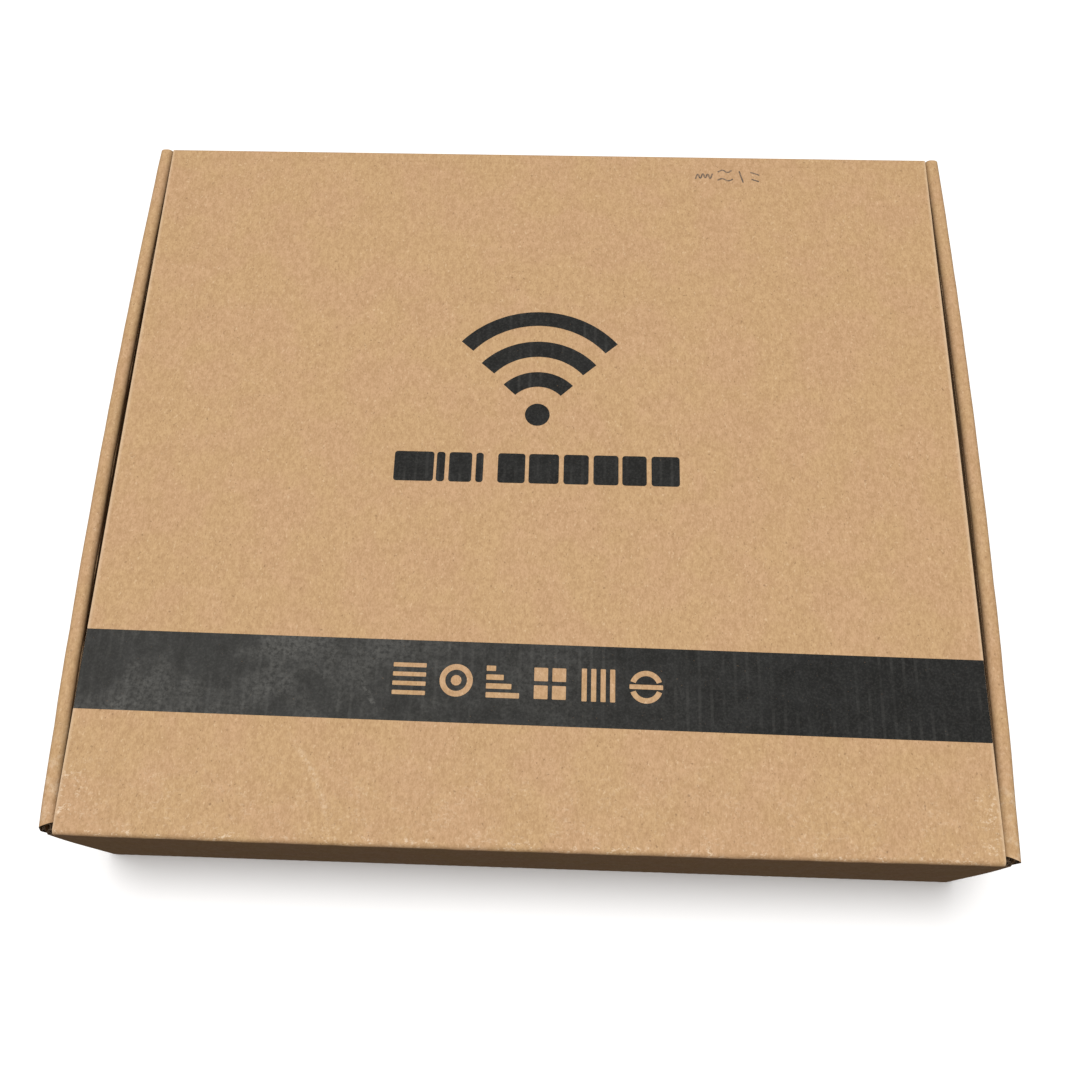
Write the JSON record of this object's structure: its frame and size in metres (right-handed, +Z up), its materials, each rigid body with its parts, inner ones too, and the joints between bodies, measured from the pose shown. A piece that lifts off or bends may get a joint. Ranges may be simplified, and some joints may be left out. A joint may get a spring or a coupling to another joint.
{
  "type": "wifi router in its mailer carton",
  "caption": "Kraft corrugated mailer carton with a hinged tuck-front lid and rolled side walls, with an insert and a small wifi router inside.",
  "frame": {"origin": "underside of the base, at the middle of the carton's footprint", "axes": "+Z up, +X to the right seen from the front, -Y towards the front with the tuck flap"},
  "size_m": [0.263, 0.225, 0.054],
  "materials": {
    "kraft_board": "matte kraft liner, E-flute corrugated",
    "printed_board": "matte kraft liner with one-colour black flexo print",
    "insert_board": "matte unprinted kraft",
    "leaflet_paper": "uncoated folded paper, blank",
    "case_white": "fine spark-eroded texture",
    "case_grey": "fine spark-eroded texture",
    "circuit_laminate": "green solder mask",
    "antenna_laminate": "bare laminate with copper trace",
    "tinned_steel": "tin-plated sheet",
    "heat_spreader_metal": "extruded, lightly brushed",
    "jack_plastic": "moulded black",
    "lens_clear": "frosted light pipe",
    "button_plastic": "moulded grey",
    "foot_rubber": "soft rubber pads",
    "screw_steel": "zinc-plated"
  },
  "bodies": {
    "root": {"base_panel": "kraft_board", "front_wall": "kraft_board", "back_wall": "kraft_board", "left_outer_wall": "kraft_board", "right_outer_wall": "kraft_board", "left_roll_over": "kraft_board", "right_roll_over": "kraft_board", "left_inner_wall": "kraft_board", "right_inner_wall": "kraft_board", "front_left_corner_flap": "kraft_board", "front_right_corner_flap": "kraft_board", "back_left_corner_flap": "kraft_board", "back_right_corner_flap": "kraft_board", "insert_deck": "insert_board", "insert_front_leg": "insert_board", "insert_back_leg": "insert_board", "insert_left_leg": "insert_board", "insert_right_leg": "insert_board", "insert_divider": "insert_board", "quick_start_leaflet": "leaflet_paper", "router_bottom_shell": "case_grey", "router_top_shell": "case_white", "router_circuit_board": "circuit_laminate", "router_shield_cans": "tinned_steel", "router_heat_spreader": "heat_spreader_metal", "router_left_antenna": "antenna_laminate", "router_right_antenna": "antenna_laminate", "router_front_antenna": "antenna_laminate", "router_network_jacks": "jack_plastic", "router_power_jack": "jack_plastic", "router_status_lens": "lens_clear", "router_pair_switch": "jack_plastic", "router_rubber_feet": "foot_rubber", "router_screws": "screw_steel"},
    "lid": {"lid_panel": "printed_board"},
    "tuck": {"tuck_flap": "kraft_board"},
    "ear_left": {"left_ear": "kraft_board"},
    "ear_right": {"right_ear": "kraft_board"},
    "pair_button": {"router_pair_button": "button_plastic"}
  },
  "joints": [
    {"name": "lid_hinge", "type": "hinge", "parent": "root", "child": "lid", "pos_m": [0, 0.11175, 0.05325], "axis": [-1, 0, 0], "range_deg": [0, 176]},
    {"name": "tuck_crease", "type": "hinge", "parent": "lid", "child": "tuck", "pos_m": [0, -0.10985, 0.05155], "axis": [-1, 0, 0], "range_deg": [0, 22]},
    {"name": "left_ear_crease", "type": "hinge", "parent": "tuck", "child": "ear_left", "pos_m": [-0.12435, -0.10985, 0.05155], "axis": [0, 0.1392, -0.9903], "range_deg": [0, 60]},
    {"name": "right_ear_crease", "type": "hinge", "parent": "tuck", "child": "ear_right", "pos_m": [0.12435, -0.10985, 0.05155], "axis": [0, -0.1392, 0.9903], "range_deg": [0, 60]},
    {"name": "pair_button_press", "type": "slide", "parent": "root", "child": "pair_button", "axis": [0, -1, 0], "range_m": [0, 0.0006], "stiffness_N_per_m": 1500}
  ],
  "couplings": [
    {"joint": "tuck_crease", "follows": "lid_hinge", "ratio": 0.125}
  ]
}
